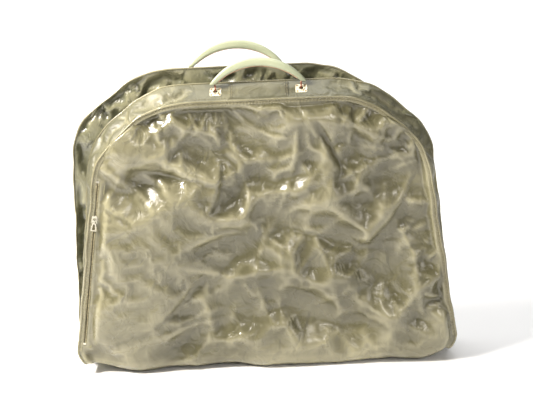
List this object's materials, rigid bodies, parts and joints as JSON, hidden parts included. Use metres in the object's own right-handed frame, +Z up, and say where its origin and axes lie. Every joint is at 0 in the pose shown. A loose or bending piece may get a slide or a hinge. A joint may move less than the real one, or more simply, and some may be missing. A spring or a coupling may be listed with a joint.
{
  "type": "garment bag",
  "caption": "Folding glossy vinyl garment bag on its fold, with arched ends, piped seams, a side zip and a curved handle riveted to each half.",
  "frame": {"origin": "centre of the flat under the fold that the bag stands on", "axes": "+X across the bag, to the right seen from the zip side; +Y from the front half to the back half; +Z up, towards the handles"},
  "size_m": [0.6201, 0.0967, 0.5272],
  "materials": {
    "outer_vinyl": "glossy, creased",
    "inner_vinyl": "glossy, creased",
    "piping_vinyl": "glossy",
    "handle_vinyl": "satin",
    "handle_core": "matt",
    "handle_binding": "worn",
    "plate_metal": "chipped, rusted",
    "rivet_metal": "dull",
    "hook_metal": "rusted",
    "board": "fibreboard",
    "zip_tape": "woven",
    "zip_metal": "bright"
  },
  "bodies": {
    "back_half": {"back_backing_plates": "plate_metal", "back_end_patch": "outer_vinyl", "back_eyelet_plate_left": "plate_metal", "back_eyelet_plate_right": "plate_metal", "back_gusset": "outer_vinyl", "back_inner_panel": "inner_vinyl", "back_inner_piping": "piping_vinyl", "back_outer_panel": "outer_vinyl", "back_outer_piping": "piping_vinyl", "back_plate_rivets": "rivet_metal", "back_stiffener": "board", "fold_strip": "outer_vinyl", "inner_fold_strip": "inner_vinyl"},
    "front_half": {"front_backing_plates": "plate_metal", "front_end_patch": "outer_vinyl", "front_eyelet_plate_left": "plate_metal", "front_eyelet_plate_right": "plate_metal", "front_gusset": "outer_vinyl", "front_inner_panel": "inner_vinyl", "front_inner_piping": "piping_vinyl", "front_outer_panel": "outer_vinyl", "front_outer_piping": "piping_vinyl", "front_plate_rivets": "rivet_metal", "front_stiffener": "board", "zip_chain": "zip_metal", "zip_stops": "zip_metal", "zip_tapes": "zip_tape"},
    "front_handle": {"front_handle_binding": "handle_binding", "front_handle_core": "handle_core", "front_handle_hook_left": "hook_metal", "front_handle_hook_right": "hook_metal", "front_handle_wrap": "handle_vinyl"},
    "back_handle": {"back_handle_binding": "handle_binding", "back_handle_core": "handle_core", "back_handle_hook_left": "hook_metal", "back_handle_hook_right": "hook_metal", "back_handle_wrap": "handle_vinyl"},
    "zip_slider": {"zip_slider": "zip_metal"},
    "zip_pull": {"zip_pull": "zip_metal"}
  },
  "joints": [
    {"name": "fold", "type": "hinge", "parent": "back_half", "child": "front_half", "pos_m": [0, 0, 0.012], "axis": [1, 0, 0], "range_deg": [0, 180], "deforming": ["fold_strip", "inner_fold_strip"]},
    {"name": "front_handle_swing", "type": "hinge", "parent": "front_half", "child": "front_handle", "pos_m": [0.004, -0.02147, 0.45875], "axis": [1, 0, 0], "range_deg": [-25, 78]},
    {"name": "back_handle_swing", "type": "hinge", "parent": "back_half", "child": "back_handle", "pos_m": [-0.03, 0.02147, 0.48075], "axis": [1, 0, 0], "range_deg": [-78, 25]},
    {"name": "zip_slide", "type": "slide", "parent": "front_half", "child": "zip_slider", "axis": [0.1578, 0, 0.9875], "range_m": [-0.198, 0.052]},
    {"name": "zip_pull_swing", "type": "hinge", "parent": "zip_slider", "child": "zip_pull", "pos_m": [-0.26117, -0.0484, 0.26458], "axis": [-0.9875, 0, 0.1578], "range_deg": [0, 170]}
  ]
}
